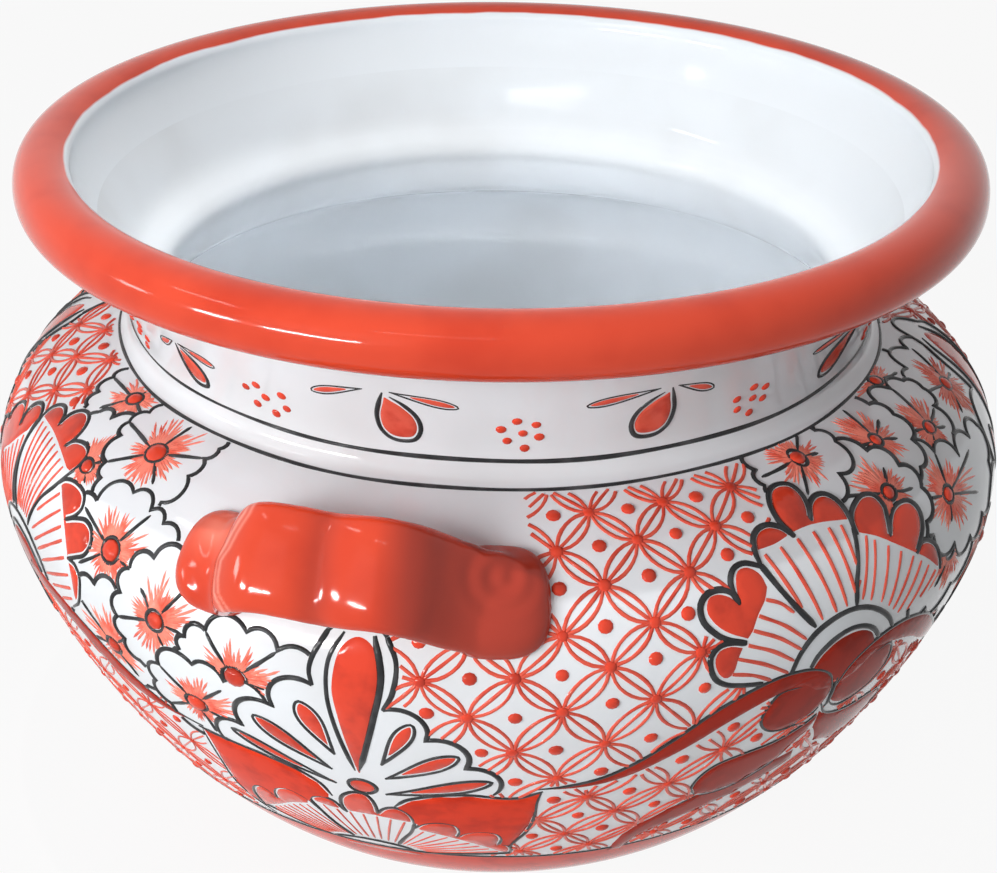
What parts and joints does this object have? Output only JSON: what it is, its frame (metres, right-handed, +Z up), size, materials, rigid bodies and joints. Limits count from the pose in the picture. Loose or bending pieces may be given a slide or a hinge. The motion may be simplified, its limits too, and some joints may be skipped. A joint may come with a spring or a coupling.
{
  "type": "ceramic planter",
  "caption": "Round-bellied glazed ceramic planter with a narrow neck, a broad rolled lip, a drain hole and lobed strap handles on its shoulder.",
  "frame": {"origin": "on the resting plane, below the middle of the pot", "axes": "+Z up, -Y towards the front handle, X across the pot between the handles"},
  "size_m": [0.4334, 0.4558, 0.2925],
  "materials": {
    "white_glaze": "glossy, slightly bluish white glaze",
    "orange_red_glaze": "glossy orange-red glaze",
    "charcoal_line": "raised charcoal brush line under a clear gloss",
    "bare_clay": "unglazed fired clay, matt"
  },
  "bodies": {
    "root": {"foot_ring": "bare_clay", "floor_disc": "white_glaze", "base_band": "orange_red_glaze", "lower_bowl": "white_glaze", "shoulder": "white_glaze", "neck_collar": "white_glaze", "rolled_rim": "orange_red_glaze", "front_handle_strap": "orange_red_glaze", "front_handle_left_pad": "orange_red_glaze", "front_handle_right_pad": "orange_red_glaze", "back_handle_strap": "orange_red_glaze", "back_handle_left_pad": "orange_red_glaze", "back_handle_right_pad": "orange_red_glaze"}
  },
  "joints": []
}
